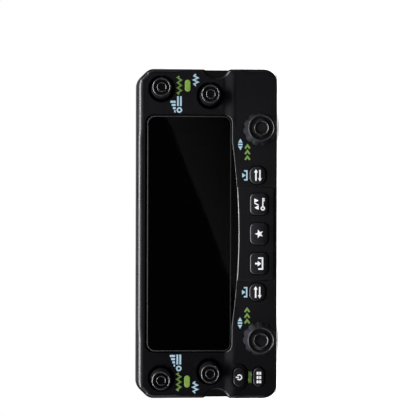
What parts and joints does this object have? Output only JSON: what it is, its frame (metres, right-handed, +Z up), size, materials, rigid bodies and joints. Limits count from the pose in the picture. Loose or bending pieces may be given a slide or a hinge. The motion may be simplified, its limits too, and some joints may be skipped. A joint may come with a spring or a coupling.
{
  "type": "radio control head",
  "caption": "Control head of a dual-band vehicle radio with a wide display window, fluted dials, small knobs and push keys, to be fixed to a bracket from behind.",
  "frame": {"origin": "centre of the four-hole rear mount, on the flat back face", "axes": "+X to the right along the length as the user sees it, +Z up, front face and controls towards -Y, +Y out of the back"},
  "size_m": [0.14, 0.0429, 0.06],
  "materials": {
    "front_case": "satin fine-grained moulding",
    "rear_case": "satin fine-grained moulding",
    "panel_case": "satin fine-grained moulding",
    "lens": "polished smoked acrylic",
    "tape": "matt black adhesive tape",
    "film": "clear protective film",
    "display_glass": "dark liquid-crystal glass",
    "white_plastic": "plain white moulding",
    "light_guide": "clear polished light guide",
    "flex_film": "amber polyimide ribbon",
    "circuit_board": "green solder resist",
    "chip_resin": "matt black epoxy",
    "lamp": "frosted yellow-green diffuser, lit",
    "silicone": "soft grey silicone",
    "spring_steel": "thin spring steel",
    "key_cap": "satin moulded key",
    "control_can": "plated pressed steel",
    "rotor_resin": "cream acetal",
    "shaft_metal": "machined aluminium",
    "knob_rubberised": "satin rubberised moulding",
    "dial_cap": "fine spun-pattern moulding",
    "jack_plastic": "black nylon",
    "contact_gold": "gold-plated spring wire",
    "black_screw": "black zinc",
    "plated_screw": "bright zinc",
    "brass": "turned brass"
  },
  "bodies": {
    "root": {"front_shell": "front_case", "rear_shell": "rear_case", "key_panel": "panel_case", "window_lens": "lens", "lens_tape": "tape", "screen_film": "film", "lcd_glass": "display_glass", "lcd_frame": "white_plastic", "light_guide": "light_guide", "lcd_flex": "flex_film", "main_board": "circuit_board", "board_chips": "chip_resin", "status_leds": "lamp", "key_mat": "silicone", "side_key_mat": "silicone", "snap_domes": "spring_steel", "indicator_left": "lamp", "indicator_right": "lamp", "encoder_body_left": "control_can", "encoder_body_right": "control_can", "volume_pot_left": "control_can", "volume_pot_right": "control_can", "squelch_pot_left": "control_can", "squelch_pot_right": "control_can", "data_jack": "jack_plastic", "jack_contacts": "contact_gold", "case_screws": "black_screw", "board_screws": "plated_screw", "mount_inserts": "brass", "control_nuts": "brass"},
    "dial_turn_left": {"encoder_rotor_left": "rotor_resin"},
    "dial_push_left": {"dial_shaft_left": "shaft_metal", "dial_knob_left": "knob_rubberised", "dial_cap_left": "dial_cap"},
    "volume_turn_left": {"volume_rotor_left": "rotor_resin"},
    "volume_push_left": {"volume_shaft_left": "shaft_metal", "volume_knob_left": "knob_rubberised"},
    "squelch_turn_left": {"squelch_shaft_left": "shaft_metal", "squelch_knob_left": "knob_rubberised"},
    "dial_turn_right": {"encoder_rotor_right": "rotor_resin"},
    "dial_push_right": {"dial_shaft_right": "shaft_metal", "dial_knob_right": "knob_rubberised", "dial_cap_right": "dial_cap"},
    "volume_turn_right": {"volume_rotor_right": "rotor_resin"},
    "volume_push_right": {"volume_shaft_right": "shaft_metal", "volume_knob_right": "knob_rubberised"},
    "squelch_turn_right": {"squelch_shaft_right": "shaft_metal", "squelch_knob_right": "knob_rubberised"},
    "key_power_cap": {"key_power": "key_cap"},
    "key_function_cap": {"key_function": "key_cap"},
    "key_swap_left_cap": {"key_swap_left": "key_cap"},
    "key_swap_right_cap": {"key_swap_right": "key_cap"},
    "key_store_cap": {"key_store": "key_cap"},
    "key_star_cap": {"key_star": "key_cap"},
    "key_level_cap": {"key_level": "key_cap"}
  },
  "joints": [
    {"name": "dial_left_spin", "type": "hinge", "parent": "root", "child": "dial_turn_left", "pos_m": [-0.0444, -0.03, -0.0227], "axis": [0, 1, 0], "continuous": true},
    {"name": "dial_left_press", "type": "slide", "parent": "dial_turn_left", "child": "dial_push_left", "axis": [0, 1, 0], "range_m": [0, 0.0007], "stiffness_N_per_m": 2000, "springref_m": -0.0004},
    {"name": "volume_left_spin", "type": "hinge", "parent": "root", "child": "volume_turn_left", "pos_m": [-0.0615, -0.028, 0.019], "axis": [0, 1, 0], "range_deg": [-15, 285]},
    {"name": "volume_left_press", "type": "slide", "parent": "volume_turn_left", "child": "volume_push_left", "axis": [0, 1, 0], "range_m": [0, 0.0005], "stiffness_N_per_m": 2000, "springref_m": -0.0004},
    {"name": "squelch_left_spin", "type": "hinge", "parent": "root", "child": "squelch_turn_left", "pos_m": [-0.0587, -0.028, -0.0016], "axis": [0, 1, 0], "range_deg": [-47, 253]},
    {"name": "dial_right_spin", "type": "hinge", "parent": "root", "child": "dial_turn_right", "pos_m": [0.0444, -0.03, -0.0227], "axis": [0, 1, 0], "continuous": true},
    {"name": "dial_right_press", "type": "slide", "parent": "dial_turn_right", "child": "dial_push_right", "axis": [0, 1, 0], "range_m": [0, 0.0007], "stiffness_N_per_m": 2000, "springref_m": -0.0004},
    {"name": "volume_right_spin", "type": "hinge", "parent": "root", "child": "volume_turn_right", "pos_m": [0.0615, -0.028, 0.019], "axis": [0, 1, 0], "range_deg": [-15, 285]},
    {"name": "volume_right_press", "type": "slide", "parent": "volume_turn_right", "child": "volume_push_right", "axis": [0, 1, 0], "range_m": [0, 0.0005], "stiffness_N_per_m": 2000, "springref_m": -0.0004},
    {"name": "squelch_right_spin", "type": "hinge", "parent": "root", "child": "squelch_turn_right", "pos_m": [0.0587, -0.028, -0.0016], "axis": [0, 1, 0], "range_deg": [-47, 253]},
    {"name": "key_power_press", "type": "slide", "parent": "root", "child": "key_power_cap", "axis": [0, 1, 0], "range_m": [0, 0.0006], "stiffness_N_per_m": 1500, "springref_m": -0.0004},
    {"name": "key_function_press", "type": "slide", "parent": "root", "child": "key_function_cap", "axis": [0, 1, 0], "range_m": [0, 0.0006], "stiffness_N_per_m": 1500, "springref_m": -0.0004},
    {"name": "key_swap_left_press", "type": "slide", "parent": "root", "child": "key_swap_left_cap", "axis": [0, 1, 0], "range_m": [0, 0.0006], "stiffness_N_per_m": 1500, "springref_m": -0.0004},
    {"name": "key_swap_right_press", "type": "slide", "parent": "root", "child": "key_swap_right_cap", "axis": [0, 1, 0], "range_m": [0, 0.0006], "stiffness_N_per_m": 1500, "springref_m": -0.0004},
    {"name": "key_store_press", "type": "slide", "parent": "root", "child": "key_store_cap", "axis": [0, 1, 0], "range_m": [0, 0.0006], "stiffness_N_per_m": 1500, "springref_m": -0.0004},
    {"name": "key_star_press", "type": "slide", "parent": "root", "child": "key_star_cap", "axis": [0, 1, 0], "range_m": [0, 0.0006], "stiffness_N_per_m": 1500, "springref_m": -0.0004},
    {"name": "key_level_press", "type": "slide", "parent": "root", "child": "key_level_cap", "axis": [0, 1, 0], "range_m": [0, 0.0006], "stiffness_N_per_m": 1500, "springref_m": -0.0004}
  ]
}
